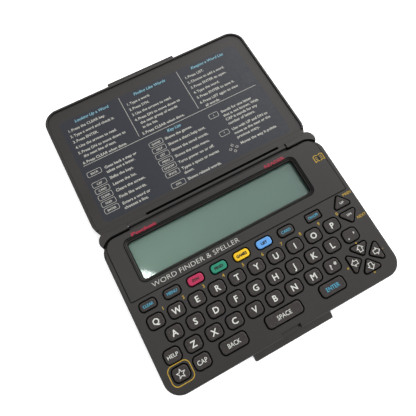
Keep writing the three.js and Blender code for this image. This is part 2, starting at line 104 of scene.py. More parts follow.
def grown(corners, distance):
    moved = []
    for i, (x, y, rounding) in enumerate(corners):
        before, after = corners[i - 1], corners[(i + 1) % len(corners)]
        a = Vector((x - before[0], y - before[1])).normalized()
        b = Vector((after[0] - x, after[1] - y)).normalized()
        way = Vector((a.y + b.y, -a.x - b.x))
        way *= 2 * distance / way.length_squared
        moved.append((x + way.x, y + way.y, max(rounding + distance, 0.02)))
    return moved


def traced(corners, arcStep=9):
    points = []
    for i, (x, y, rounding) in enumerate(corners):
        before, after = corners[i - 1], corners[(i + 1) % len(corners)]
        a = Vector((x - before[0], y - before[1])).normalized()
        b = Vector((after[0] - x, after[1] - y)).normalized()
        turn = math.acos(max(-1, min(1, a.dot(b))))
        start = Vector((x, y)) - a * rounding * math.tan(turn / 2)
        centre = start + Vector((-a.y, a.x)) * rounding
        first = math.atan2(start.y - centre.y, start.x - centre.x)
        steps = max(2, round(math.degrees(turn) / arcStep))
        for k in range(steps + 1):
            angle = first + turn * k / steps
            points.append((centre.x + rounding * math.cos(angle), centre.y + rounding * math.sin(angle)))
    return points


# levels of a loft whose lower and upper edges are rounded
def roundedLevels(corners, bottom, top, bottomRound=0.0, topRound=0.0, steps=5):
    levels = []
    for k in range(steps + 1 if bottomRound else 0):
        angle = math.pi / 2 * k / steps
        inset = bottomRound * (1 - math.sin(angle))
        levels.append((grown(corners, -inset), bottom + bottomRound * (1 - math.cos(angle))))
    if not bottomRound:
        levels.append((corners, bottom))
    for k in range(steps + 1 if topRound else 0):
        angle = math.pi / 2 * k / steps
        inset = topRound * (1 - math.cos(angle))
        levels.append((grown(corners, -inset), top - topRound * (1 - math.sin(angle))))
    if not topRound:
        levels.append((corners, top))
    return levels


# levels of a cutter that leaves a rounded rim where it comes out at the surface
def flaredLevels(corners, bottom, surface, rimRound, above=1.0):
    levels = [(corners, bottom)]
    for degrees in (0, 25, 50, 75):
        angle = math.radians(degrees)
        flare = rimRound * (1 - math.cos(angle))
        levels.append((grown(corners, flare), surface - rimRound * (1 - math.sin(angle))))
    levels.append((grown(corners, rimRound), surface + 0.02))
    levels.append((grown(corners, rimRound), surface + above))
    return levels


# ---- meshes ----
def newPiece(name, work):
    mesh = bpy.data.meshes.new(name)
    work.to_mesh(mesh)
    work.free()
    piece = bpy.data.objects.new(name, mesh)
    bpy.context.scene.collection.objects.link(piece)
    return piece


def addLoft(work, levels):
    rings = []
    for corners, z in levels:
        rings.append([work.verts.new((x * mm, y * mm, z * mm)) for x, y in traced(corners)])
    work.faces.new(list(reversed(rings[0])))
    work.faces.new(rings[-1])
    for low, high in zip(rings, rings[1:]):
        for i in range(len(low)):
            work.faces.new((low[i - 1], low[i], high[i], high[i - 1]))


def loft(name, levels):
    work = bmesh.new()
    addLoft(work, levels)
    return newPiece(name, work)


def prism(name, corners, bottom, top):
    return loft(name, [(corners, bottom), (corners, top)])


def block(name, x0, x1, y0, y1, z0, z1):
    return prism(name, rectangle(x0, x1, y0, y1, 0.02), z0, z1)


# a closed (y, z) section, counter-clockwise seen from +X, carried along X
def rail(name, section, x0, x1):
    work = bmesh.new()
    ends = [[work.verts.new((x * mm, y * mm, z * mm)) for y, z in section] for x in (x0, x1)]
    work.faces.new(list(reversed(ends[0])))
    work.faces.new(ends[1])
    for i in range(len(section)):
        work.faces.new((ends[0][i - 1], ends[0][i], ends[1][i], ends[1][i - 1]))
    return newPiece(name, work)


def circle(centreX, centreY, radius, sides=48):
    turn = 2 * math.pi / sides
    angles = [k * turn for k in range(sides)]
    return [(centreX + radius * math.cos(a), centreY + radius * math.sin(a)) for a in angles]


# a square whose roundings all but meet, so that it grows and shrinks as the other outlines do
def roundOutline(x, y, radius, flat=0.01):
    return rectangle(x - radius, x + radius, y - radius, y + radius, radius - flat)


def disc(name, x, y, radius, z0, z1):
    return prism(name, roundOutline(x, y, radius, 0.001), z0, z1)


def settle(piece):
    depsgraph = bpy.context.evaluated_depsgraph_get()
    made = bpy.data.meshes.new_from_object(piece.evaluated_get(depsgraph))
    piece.modifiers.clear()
    old = piece.data
    piece.data = made
    bpy.data.meshes.remove(old)
    return piece


def joined(pieces):
    work = bmesh.new()
    for piece in pieces:
        work.from_mesh(piece.data)
        bpy.data.objects.remove(piece)
    return newPiece("joined", work)


def combine(body, tools, operation="DIFFERENCE"):
    tool = joined(tools)
    change = body.modifiers.new("combine", "BOOLEAN")
    change.operation = operation
    change.solver = "EXACT"
    change.object = tool
    settle(body)
    bpy.data.objects.remove(tool)
    work = bmesh.new()
    work.from_mesh(body.data)
    bmesh.ops.remove_doubles(work, verts=work.verts, dist=0.002 * mm)
    bmesh.ops.dissolve_degenerate(work, edges=work.edges, dist=0.002 * mm)
    work.to_mesh(body.data)
    work.free()
    return body


def unite(body, *others):
    for other in others:
        combine(body, [other], "UNION")
    return body


def softened(piece, width, segments=3, angle=35):
    bevel = piece.modifiers.new("bevel", "BEVEL")
    bevel.width = width * mm
    bevel.segments = segments
    bevel.limit_method = "ANGLE"
    bevel.angle_limit = math.radians(angle)
    return settle(piece)


# marks the rounded edges, which handling polishes, and paints shade on the side walls and in the gaps
def markFaces(mesh, inGap):
    wear, paintedShade = [], []
    for face in mesh.polygons:
        slope = face.normal.z ** 2
        wear.append(4 * slope * (1 - slope))
        # painted shade: side walls get 0.6 of it, and faces in gaps get all of it
        side = 0.6 if abs(face.normal.z) < 0.45 else 0.0
        paintedShade.append(1.0 if inGap and inGap(face.center / mm, face.normal) else side)
    mesh.attributes.new("edgeWear", "FLOAT", "FACE").data.foreach_set("value", wear)
    mesh.attributes.new("paintedShade", "FLOAT", "FACE").data.foreach_set("value", paintedShade)


def finishPiece(piece, body, material, standsFor=(), inGap=None):
    mesh = piece.data
    mesh.materials.clear()
    mesh.materials.append(material)
    mesh.shade_smooth()
    mesh.set_sharp_from_angle(angle=math.radians(32))
    markFaces(mesh, inGap)
    weighted = piece.modifiers.new("weighted", "WEIGHTED_NORMAL")
    weighted.keep_sharp = True
    settle(piece)
    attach(piece, body)
    if standsFor:
        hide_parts(*standsFor)
    return piece


# ---- finishes ----
# one material and its nodes; a method that makes a node gives back the node's output
class finish:
    def __init__(self, name):
        self.material = bpy.data.materials.new(name)
        self.material.use_nodes = True
        self.tree = self.material.node_tree
        self.shader = self.tree.nodes["Principled BSDF"]
        self.place = self.add("ShaderNodeTexCoord").outputs["Object"]

    def add(self, kind):
        return self.tree.nodes.new(kind)

    def link(self, source, target):
        self.tree.links.new(source, target)

    # gives one of the shader's inputs a value, or links an output to it
    def drive(self, name, source):
        if isinstance(source, bpy.types.NodeSocket):
            self.link(source, self.shader.inputs[name])
        else:
            self.shader.inputs[name].default_value = source

    def noise(self, scale, detail=2.0, rough=0.5):
        node = self.add("ShaderNodeTexNoise")
        node.inputs["Scale"].default_value = scale
        node.inputs["Detail"].default_value = detail
        node.inputs["Roughness"].default_value = rough
        self.link(self.place, node.inputs["Vector"])
        return node.outputs["Fac"]

    def spread(self, value, low, high, fromLow=0.3, fromHigh=0.7):
        node = self.add("ShaderNodeMapRange")
        node.inputs["From Min"].default_value = fromLow
        node.inputs["From Max"].default_value = fromHigh
        node.inputs["To Min"].default_value = low
        node.inputs["To Max"].default_value = high
        self.link(value, node.inputs["Value"])
        return node.outputs["Result"]

    def times(self, first, second):
        node = self.add("ShaderNodeMath")
        node.operation = "MULTIPLY"
        for socket, value in zip(node.inputs, (first, second)):
            if isinstance(value, float):
                socket.default_value = value
            else:
                self.link(value, socket)
        return node.outputs["Value"]

    def mix(self, factor, first, second):
        node = self.add("ShaderNodeMix")
        node.data_type = "RGBA"
        self.link(factor, node.inputs["Factor"])
        for socket, colour in ((node.inputs["A"], first), (node.inputs["B"], second)):
            if isinstance(colour, tuple):
                socket.default_value = (*colour, 1)
            else:
                self.link(colour, socket)
        return node.outputs["Result"]

    def bump(self, height, strength, distance, under=None):
        node = self.add("ShaderNodeBump")
        node.inputs["Strength"].default_value = strength
        node.inputs["Distance"].default_value = distance * mm
        self.link(height, node.inputs["Height"])
        if under:
            self.link(under, node.inputs["Normal"])
        return node.outputs["Normal"]

    # a number that the mesh carries on its faces
    def marked(self, name):
        node = self.add("ShaderNodeAttribute")
        node.attribute_name = name
        return node.outputs["Fac"]

    # how far a place lies along a direction, from 0 at start to 1 at end
    def along(self, x, y, start, end):
        node = self.add("ShaderNodeVectorMath")
        node.operation = "DOT_PRODUCT"
        node.inputs[1].default_value = (x, y, 0)
        self.link(self.place, node.inputs[0])
        return self.spread(node.outputs["Value"], 0, 1, start * mm, end * mm)


def shade(colour, factor):
    return tuple(min(1, part * factor) for part in colour)


# spark-textured moulded plastic: tone drifts slowly, the grain is fine, and edges are polished by handling
def mouldedPlastic(name, look):
    kit = finish(name)
    drift = look["drift"]
    darker, lighter = shade(look["colour"], 1 - drift), shade(look["colour"], 1 + drift)
    tone = kit.mix(kit.spread(kit.noise(45, 3), 0, 1), darker, lighter)
    speckle = kit.noise(look["grain"], 2, 0.6)
    tone = kit.mix(kit.spread(speckle, 0.0, look["flecks"], 0.55, 0.75), tone, look["worn"])
    wear = kit.times(kit.marked("edgeWear"), kit.spread(kit.noise(160, 4), 0.1, look["wear"]))
    # painted shade: faces marked for it turn near black and lose most of their gloss
    paintedShade = kit.marked("paintedShade")
    shadeMask = kit.times(paintedShade, kit.spread(kit.noise(300, 2), 0.9, 1.0))
    kit.drive("Base Color", kit.mix(shadeMask, kit.mix(wear, tone, look["worn"]), look["paintedShadeColour"]))
    kit.drive("Specular IOR Level", kit.spread(paintedShade, look["specular"], 0.05, 0, 1))
    low, high = look["roughness"] - look["roughSpread"], look["roughness"] + look["roughSpread"]
    kit.drive("Roughness", kit.spread(kit.noise(90, 4), low, high))
    coarse = kit.bump(kit.noise(look["grain"] / 3, 3), look["relief"] * 0.5, 0.05)
    kit.drive("Normal", kit.bump(speckle, look["relief"], 0.03, coarse))
    return kit.material


def ink(name, colour, roughness=0.45):
    kit = finish(name)
    coverage = kit.spread(kit.noise(1500, 3, 0.6), 0, 1, 0.35, 0.6)
    kit.drive("Base Color", kit.mix(coverage, shade(colour, 0.82), colour))
    kit.drive("Roughness", kit.spread(kit.noise(700, 2), roughness - 0.08, roughness + 0.08))
    kit.drive("Specular IOR Level", 0.22)
    kit.drive("Normal", kit.bump(kit.noise(2500, 2), 0.15, 0.02))
    return kit.material


def plainFinish(name, colours, roughness, metallic=0.0, grain=400.0):
    kit = finish(name)
    kit.drive("Metallic", metallic)
    kit.drive("Base Color", kit.mix(kit.spread(kit.noise(grain, 3), 0, 1), *colours))
    kit.drive("Roughness", kit.spread(kit.noise(grain / 2, 3), roughness - 0.08, roughness + 0.08))
    kit.drive("Normal", kit.bump(kit.noise(grain * 2, 2), 0.1, 0.03))
    return kit.material


caseLook = {
    "colour": (0.0135, 0.0125, 0.0115), "worn": (0.045, 0.042, 0.039), "roughness": 0.42,
    "roughSpread": 0.025, "specular": 0.22, "grain": 2600.0, "relief": 0.35, "drift": 0.1,
    # the last colour here, near black, is painted shade for faces down in gaps
    "flecks": 0.25, "wear": 0.35, "paintedShadeColour": (0.003, 0.003, 0.003),
}
lidLook = dict(caseLook, colour=(0.0155, 0.0135, 0.0125), roughness=0.47)
keyLook = dict(
    caseLook, colour=(0.0145, 0.0118, 0.0108), worn=(0.065, 0.057, 0.052),
    roughness=0.5, grain=1500.0, relief=0.8, flecks=0.5, wear=0.5,
)
keyColours = {
    "red": ((0.26, 0.009, 0.045), (0.38, 0.04, 0.09)),
    "green": ((0.006, 0.15, 0.09), (0.03, 0.24, 0.16)),
    "yellow": ((0.56, 0.34, 0.002), (0.64, 0.42, 0.02)),
    "blue": ((0.065, 0.21, 0.46), (0.15, 0.32, 0.56)),
}
plasticCase = mouldedPlastic("charcoalPlastic", caseLook)
plasticLid = mouldedPlastic("lidPlastic", lidLook)
plasticKey = mouldedPlastic("keyPlastic", keyLook)
plasticColour = {
    name: mouldedPlastic(
        name + "KeyPlastic", dict(keyLook, colour=colour, worn=worn, roughness=0.45, flecks=0.2)
    )
    for name, (colour, worn) in keyColours.items()
}
inks = {
    "white": ink("whiteInk", (0.46, 0.46, 0.43)),
    "cyan": ink("cyanInk", (0.045, 0.26, 0.38)),
    "gold": ink("goldInk", (0.32, 0.20, 0.012)),
    "red": ink("redInk", (0.24, 0.006, 0.026)),
    "dark": ink("darkInk", (0.004, 0.003, 0.003)),
    "black": ink("windowShadeInk", (0.006, 0.006, 0.006)),
    "cream": ink("creamInk", (0.36, 0.355, 0.32)),
    "heading": ink("headingInk", (0.13, 0.29, 0.36)),
    "field": ink("fieldInk", (0.0105, 0.0125, 0.0185)),
}
steel = plainFinish("steel", ((0.42, 0.42, 0.43), (0.55, 0.55, 0.56)), 0.28, 1.0, 900.0)
silicone = plainFinish("silicone", ((0.16, 0.16, 0.155), (0.2, 0.2, 0.19)), 0.7)
lacquer = plainFinish("boardLacquer", ((0.015, 0.09, 0.04), (0.025, 0.13, 0.06)), 0.35)
rubber = plainFinish("rubber", ((0.012, 0.012, 0.012), (0.022, 0.022, 0.021)), 0.75, 0.0, 700.0)
print("stage: finishes made")

# ---- the keys ----
keys = {
    "flange": 0.9,
    "flangeHeight": 0.6,
    "clearance": 0.65,
    "edgeRound": 0.45,
    "dish": 0.05,
    "dishStart": 0.95,
    "dishFloor": 1.6,
    "radius": {
        "clear": 1.5, "menu": 1.5, "card": 1.5, "power": 0.6, "back": 1.7, "space": 1.7, "enter": 1.7,
    },
    "colourRadius": 1.5,
    "letterRadius": 1.9,
    "arrowRadius": 0.8,
    "pageHalf": 4.8,
    "pageHeight": 6.1,
    "padHalf": 5.0,
    "padUpHeight": 5.8,
    "padSideHeight": 6.0,
    "wellRound": 0.15,
}
# the side on which each pointed key is flat, in quarter turns from the front
flatSides = {"page_up": 0, "page_down": 2, "arrow_up": 2, "arrow_down": 0, "arrow_left": 3, "arrow_right": 1}


def keyCorners(node):
    low, high = boxOf(node)
    x0, x1 = low.x + keys["flange"], high.x - keys["flange"]
    y0, y1 = low.y + keys["flange"], high.y - keys["flange"]
    kind = node[4:]
    if kind not in flatSides:
        usual = keys["colourRadius"] if kind in keyColours else keys["letterRadius"]
        return rectangle(x0, x1, y0, y1, keys["radius"].get(kind, usual))
    turns = flatSides[kind]
    half, height = keys["pageHalf"], keys["pageHeight"]
    if kind.startswith("arrow"):
        half, height = keys["padHalf"], keys["padUpHeight"] if turns % 2 == 0 else keys["padSideHeight"]
    middleX, middleY = (x0 + x1) / 2, (y0 + y1) / 2
    flat = ((middleX, y0), (x1, middleY), (middleX, y1), (x0, middleY))[turns]
    spin = Matrix.Rotation(turns * math.pi / 2, 2)
    corners = [spin @ Vector(p) + Vector(flat) for p in ((-half, 0), (half, 0), (0, height))]
    return [(p.x, p.y, keys["arrowRadius"]) for p in corners]


def keycap(node):
    corners = keyCorners(node)
    low, high = boxOf(node)
    top = high.z - 0.02
    flangeTop = low.z + keys["flangeHeight"]
    levels = [(grown(corners, keys["flange"]), low.z), (grown(corners, keys["flange"]), flangeTop)]
    levels += roundedLevels(corners, flangeTop, top, topRound=keys["edgeRound"], steps=5)
    levels.append((grown(corners, -keys["dishStart"]), top - keys["dish"] * 0.5))
    levels.append((grown(corners, -keys["dishFloor"]), top - keys["dish"]))
    kind = node[4:]
    piece = loft("keycap_" + kind, levels)

    # the key's skirt and flange, down by the plate, get painted shade
    def inGap(centre, normal):
        return centre.z < plateTop - 0.3 or (centre.z < plateTop + 0.1 and abs(normal.z) < 0.7)

    finishPiece(piece, node, plasticColour.get(kind, plasticKey), [node], inGap)
    return top


# ---- printing: flat text and marks, a fiftieth of a millimetre proud ----
printing = {"proud": 0.02, "sunk": 0.06, "capShare": 0.729}


class inkLayer:
    def __init__(self, name, body, material, z, place=None):
        self.name, self.body, self.material, self.z, self.place = name, body, material, z, place
        self.work = bmesh.new()
        self.texts = []

    def words(self, text, x, y, height, width=None, align="CENTER", weight=0.0, lean=0.0):
        curve = bpy.data.curves.new("text", "FONT")
        curve.body = text
        curve.align_x = align
        curve.size = height / printing["capShare"] * mm
        curve.offset = weight * mm
        curve.shear = lean
        curve.resolution_u = 3
        curve.extrude = (printing["proud"] + printing["sunk"]) / 2 * mm
        self.texts.append((curve, x, y - height / 2, width))

    # a closed band between two outlines that have the same number of points
    def band(self, outer, inner):
        low, high = self.z - printing["sunk"], self.z + printing["proud"]
        rings = [
            [self.work.verts.new((x * mm, y * mm, z * mm)) for x, y in points]
            for points, z in ((outer, low), (outer, high), (inner, high), (inner, low))
        ]
        for ring, following in zip(rings, rings[1:] + rings[:1]):
            for i in range(len(ring)):
                self.work.faces.new((ring[i - 1], ring[i], following[i], following[i - 1]))

    def outline(self, corners, width):
        self.band(traced(grown(corners, width / 2)), traced(grown(corners, -width / 2)))

    # an outline with sharp corners, which may point inwards
    def sharpOutline(self, points, width):
        corners = [(x, y, 0) for x, y in points]
        outer = [(x, y) for x, y, rounding in grown(corners, width / 2)]
        inner = [(x, y) for x, y, rounding in grown(corners, -width / 2)]
        self.band(outer, inner)

    def patch(self, corners):
        addLoft(self.work, [(corners, self.z - printing["sunk"]), (corners, self.z + printing["proud"])])

    def line(self, x0, y0, x1, y1, width):
        way = Vector((x1 - x0, y1 - y0)).normalized() * width / 2
        side = Vector((way.y, -way.x))
        ends = [(x0, y0, side), (x1, y1, side), (x1, y1, -side), (x0, y0, -side)]
        self.patch([(x + s.x, y + s.y, 0.02) for x, y, s in ends])

    def make(self):
        holders = []
        for curve, x, y, width in self.texts:
            holder = bpy.data.objects.new("text", curve)
            bpy.context.scene.collection.objects.link(holder)
            holders.append((holder, x, y, width))
        depsgraph = bpy.context.evaluated_depsgraph_get()
        middle = self.z + (printing["proud"] - printing["sunk"]) / 2
        for holder, x, y, width in holders:
            mesh = bpy.data.meshes.new_from_object(holder.evaluated_get(depsgraph))
            across = [v.co.x for v in mesh.vertices]
            stretch = width * mm / (max(across) - min(across)) if width else 1
            move = Matrix.Translation((x * mm, y * mm, middle * mm))
            mesh.transform(move @ Matrix.Diagonal((stretch, 1, 1, 1)))
            self.work.from_mesh(mesh)
            bpy.data.meshes.remove(mesh)
            bpy.data.curves.remove(holder.data)
        bmesh.ops.remove_doubles(self.work, verts=self.work.verts, dist=0.001 * mm)
        if self.place:
            bmesh.ops.transform(self.work, matrix=self.place, verts=self.work.verts)
        bmesh.ops.recalc_face_normals(self.work, faces=self.work.faces)
        piece = newPiece(self.name, self.work)
        piece.data.materials.append(self.material)
        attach(piece, self.body)
        return piece


letters = {"letterHeight": 2.9, "letterWeight": 0.075}
# word, colour, cap height, width
keyWords = {
    "help": ("HELP", "white", 1.7, 5.2), "cap": ("CAP", "white", 2.1, 4.8),
    "back": ("BACK", "white", 2.1, 6.2), "space": ("SPACE", "white", 2.1, 7.3),
    "enter": ("ENTER", "cyan", 2.0, 6.9), "clear": ("CLEAR", "cyan", 1.4, 5.0),
    "menu": ("MENU", "cyan", 1.4, 5.0), "card": ("CARD", "cyan", 1.4, 4.9),
    "power": ("ON/OFF", "cyan", 1.3, 5.4), "red": ("SYN", "dark", 1.35, 3.4),
    "green": ("FIND", "dark", 1.35, 4.4), "yellow": ("GAMES", "dark", 1.35, 5.4),
    "blue": ("LIST", "dark", 1.35, 3.2), "page_up": ("UP", "white", 1.1, 2.1),
    "page_down": ("DN", "white", 1.1, 2.3),
}


def starPoints(x, y, radius, share=0.45):
    points = []
    for k in range(10):
        angle = math.pi / 2 + k * math.pi / 5
        reach = radius if k % 2 == 0 else radius * share
        points.append((x + reach * math.cos(angle), y + reach * math.sin(angle)))
    return points


def arrowPoints(x, y, size, turns):
    half, neck = size / 2, size * 0.27
    shape = [(-neck, -half), (neck, -half), (neck, 0), (half, 0), (0, half), (-half, 0), (-neck, 0)]
    spin = Matrix.Rotation(turns * math.pi / 2, 2)
    return [tuple(spin @ Vector(p) + Vector((x, y))) for p in shape]


def keyLegend(node, top):
    kind = node[4:]
    corners = keyCorners(node)
    xs, ys = [c[0] for c in corners], [c[1] for c in corners]
    x, y = (min(xs) + max(xs)) / 2, (min(ys) + max(ys)) / 2
    colour = keyWords[kind][1] if kind in keyWords else "white"
    label = inkLayer("legend_" + kind, node, inks[colour], top)
    if kind in keyWords:
        word, colour, height, width = keyWords[kind]
        weight = 0.08 if colour == "dark" else 0.015
        if kind == "page_up":
            x, y, weight = x + 0.3, min(ys) + 1.9, 0.02
        elif kind == "page_down":
            x, y, weight = x + 0.2, max(ys) - 1.9, 0.02
        label.words(word, x, y, height, width, weight=weight)
    elif kind == "star":
        label.sharpOutline(starPoints(x, y - 0.1, 2.0), 0.3)
    elif kind.startswith("arrow"):
        flat = flatSides[kind]
        away = {0: (0, 2.1), 1: (-2.1, 0), 2: (0, -2.1), 3: (2.1, 0)}[flat]
        edge = {0: (x, min(ys)), 1: (max(xs), y), 2: (x, max(ys)), 3: (min(xs), y)}[flat]
        turns = {"arrow_up": 0, "arrow_left": 1, "arrow_down": 2, "arrow_right": 3}[kind]
        label.sharpOutline(arrowPoints(edge[0] + away[0], edge[1] + away[1], 3.2, turns), 0.32)
    elif kind == "comma":
        label.words(".", x - 1.7, y - 0.2, 2.6, weight=0.1)
        label.words(",", x + 1.9, y + 1.7, 2.6, weight=0.1)
    elif kind == "question":
        label.words("?", x - 1.0, y - 0.3, 2.3, weight=0.07)
        label.words("*", x + 1.7, y + 0.0, 2.6, weight=0.06)
    else:
        label.words(kind.upper(), x, y, letters["letterHeight"], weight=letters["letterWeight"])
    label.make()


for node in keyNames:
    keyLegend(node, keycap(node))
print("stage: keys made")

# ---- the upper shell ----
screenLow, screenHigh = boxOf("display_window")
upper = {
    "windowLap": 1.6,
    "slope": 1.15,
    "screenRadius": 3.0,
    "plateauRise": 0.35,
    "titleStrip": 5.35,
    "plateauInset": 2.6,
    "plateauRear": 0.5,
    "catchCentre": -0.3,
    "catchWidth": 9.8,
    "catchDepth": 2.1,
    "catchDrop": 0.9,
    "hookWidth": 1.1,
    "hookLength": 1.0,
    "hookDepth": 2.2,
    "tabWidth": 40.4,
    "tabDrop": 1.3,
    "barrelEnd": 16.5,
    "barrelRadius": 0.9,
    "webDrop": 0.5,
    "webThickness": 1.1,
    "boreRadius": 0.5,
    "groove": 0.35,
    "grooveReach": 0.42,
    "plateGroove": 0.25,
}
plateauTop = plateTop + upper["plateauRise"]
lap = upper["windowLap"]
openingRadius = upper["screenRadius"] - upper["slope"]
openingOutline = rectangle(
    screenLow.x + lap, screenHigh.x - lap, screenLow.y + lap, screenHigh.y - lap, openingRadius
)
screenOutline = grown(openingOutline, upper["slope"])
screenFront = screenOutline[0][1]
caseOutline = rectangle(-caseHalf, caseHalf, frontY, rearY, case["cornerRadius"])
plateauFrontY = screenFront - upper["titleStrip"]
barrelHalf = caseHalf - upper["barrelEnd"]


def frontTab(bottom, top):
    outer = frontY - case["tabReach"]
    half = upper["tabWidth"] / 2
    section = [(outer, bottom), (frontY + 0.9, bottom), (frontY + 0.9, top), (frontY, top)]
    section.append((outer, top - case["tabReach"] / 2))
    return softened(rail("tab", section, upper["catchCentre"] - half, upper["catchCentre"] + half), 0.3)


def roundBar(x0, x1, y, z, radius, sides=48):
    return rail("bar", circle(y, z, radius, sides), x0, x1)


def upperShell():
    shell = loft("upperShell", roundedLevels(
        caseOutline, case["partingZ"] + case["partingGap"], plateTop, topRound=case["edgeRound"], steps=6
    ))
    inset = upper["plateauInset"]
    rounding = case["cornerRadius"] - inset
    rear = rearY - upper["plateauRear"]
    plateau = [
        (-caseHalf + inset, plateauFrontY, 0.6), (caseHalf - inset, plateauFrontY, 0.6),
        (caseHalf - inset, rear, rounding), (-caseHalf + inset, rear, rounding),
    ]
    raised = loft("raised", roundedLevels(plateau, plateUnder + 0.3, plateauTop, topRound=0.15))
    webTop = axisZ - upper["webDrop"]
    web = block("web", -barrelHalf, barrelHalf, rearY - 0.9, axisY, webTop - upper["webThickness"], webTop)
    barrel = softened(roundBar(-barrelHalf, barrelHalf, axisY, axisZ, upper["barrelRadius"]), 0.15, 2, 60)
    tab = frontTab(case["partingZ"] + case["partingGap"], plateTop - upper["tabDrop"])
    unite(shell, raised, web, barrel, tab)
    inside = grown(caseOutline, -case["wall"])
    hollow = prism("hollow", inside, 0, plateUnder)
    slopeTop = plateauTop - 0.05
    screenLevels = [(openingOutline, plateUnder - 0.5), (openingOutline, slopeTop - upper["slope"])]
    for share in (0.35, 0.7):
        rim = grown(openingOutline, upper["slope"] * share)
        screenLevels.append((rim, slopeTop - upper["slope"] * (1 - share)))
    edge, reach, grooveZ = screenOutline, upper["grooveReach"], slopeTop - upper["groove"]
    screenLevels += [(grown(edge, -0.14), slopeTop - 0.12), (grown(edge, -0.12), grooveZ)]
    screenLevels += [(grown(edge, reach), grooveZ), (grown(edge, reach + 0.02), plateauTop + 1)]
    screen = loft("screen", screenLevels)
    half = upper["catchWidth"] / 2
    catchLeft, catchRight = upper["catchCentre"] - half, upper["catchCentre"] + half
    catch = rectangle(catchLeft, catchRight, frontY - 1, frontY + upper["catchDepth"], 0.3)
    recess = loft("recess", flaredLevels(catch, plateTop - upper["catchDrop"], plateTop, 0.2))
    left, front = catchRight - 1.3, frontY + 0.9
    hook = rectangle(left, left + upper["hookWidth"], front, front + upper["hookLength"], 0.2)
    hookHole = prism("hook", hook, plateTop - upper["hookDepth"], plateTop)
    bore = roundBar(-caseHalf, caseHalf, axisY, axisZ, upper["boreRadius"], 32)
    wells = []
    for node in keyNames:
        corners = grown(keyCorners(node), keys["clearance"])
        wells.append(loft("well", flaredLevels(corners, plateUnder - 0.5, plateTop, keys["wellRound"])))
    combine(shell, [hollow])
    combine(shell, [screen, recess, bore] + wells)
    combine(shell, [hookHole])
    groove = prism("groove", grown(plateau, reach), plateTop - upper["plateGroove"], plateTop + 1)
    combine(groove, [prism("core", grown(plateau, 0.02), plateTop - 1, plateTop + 2)])
    combine(shell, [groove])

    # painted shade for faces under the barrel, in the grooves, in the key wells and in the catch
    def inGap(centre, normal):
        x, y, z = centre
        if y > rearY and abs(normal.x) > 0.7:
            return True
        if y > rearY - 4.2 and z < plateTop - 0.6:
            return normal.z < 0.9 and (z < axisZ + 0.15 or normal.y < -0.7 or y < rearY + 0.1)
        if plateTop - 0.3 < z < plateTop - 0.02 and y > plateauFrontY - 0.5:
            return True
        amongKeys = frontY + 2.3 < y and abs(x) < caseHalf - 1.9
        atCatch = abs(x - upper["catchCentre"]) < 5.2 and z > plateTop - 1
        atScreen = y > screenFront - 0.5
        if atScreen and abs(z - grooveZ) < 0.02:
            return True
        return normal.z < 0.45 and z < plateTop - 0.05 and (amongKeys or atCatch)

    finishPiece(shell, "base", plasticCase, ["top_housing"], inGap)


upperShell()
print("stage: upper shell made")

# ---- the lower shell ----
lower = {
    "feet": 3.2,
    "footInset": 11,
    "screwInset": 7,
    "screwHead": 2.4,
    "screwSink": 1.0,
    "postWall": 1.2,
    "bayWall": 1.2,
    "bayGap": 0.3,
    "bayRadius": 3.3,
    "tabBottom": 4.0,
}
coverLow, coverHigh = boxOf("battery_cover")
bayGap = lower["bayGap"]
bayOutline = rectangle(
    coverLow.x - bayGap, coverHigh.x + bayGap, coverLow.y - bayGap, coverHigh.y + bayGap,
    lower["bayRadius"] - bayGap,
)
boardLow = boxOf("circuit_board")[0]
bayTop = boardLow.z - 0.3


def cornerSpots(inset):
    sides = (-caseHalf + inset, caseHalf - inset)
    return [(x, y) for x in sides for y in (frontY + inset, rearY - inset)]


def lowerShell():
    foot, top = case["footHeight"], case["partingZ"]
    floorTop = foot + case["floorThickness"]
    rounding = case["bottomRound"]
    shell = loft("lowerShell", roundedLevels(caseOutline, foot, top, bottomRound=rounding, steps=7))
    tab = frontTab(lower["tabBottom"], top)
    unite(shell, tab)
    wall = case["wall"]
    hollow = loft("hollow", [
        (grown(caseOutline, -rounding - wall), floorTop),
        (grown(caseOutline, -wall), floorTop + rounding),
        (grown(caseOutline, -wall), top + 1),
    ])
    combine(shell, [hollow])
    walls = grown(bayOutline, lower["bayWall"])
    unite(shell, prism("ring", walls, foot + 0.7, bayTop))
    for x, y in cornerSpots(lower["screwInset"]):
        unite(shell, disc("post", x, y, lower["screwHead"] + lower["postWall"], foot + 0.7, bayTop))
    for x, y in cornerSpots(lower["footInset"]):
        unite(shell, disc("foot", x, y, lower["feet"] + 0.6, foot - 0.15, foot + 0.7))
    mouth = grown(bayOutline, 0.25)
    cutters = [loft("bay", [
        (mouth, foot - 1), (mouth, foot), (bayOutline, foot + 0.25), (bayOutline, bayTop + 1)
    ])]
    for x, y in cornerSpots(lower["screwInset"]):
        head = lower["screwHead"]
        square = roundOutline(x, y, head)
        rim = grown(square, 0.2)
        cutters.append(loft("head", [
            (rim, foot - 1), (rim, foot), (square, foot + 0.2), (square, foot + lower["screwSink"])
        ]))
    combine(shell, cutters)
    finishPiece(shell, "base", plasticCase, ["bottom_housing"])


lowerShell()
print("stage: lower shell made")


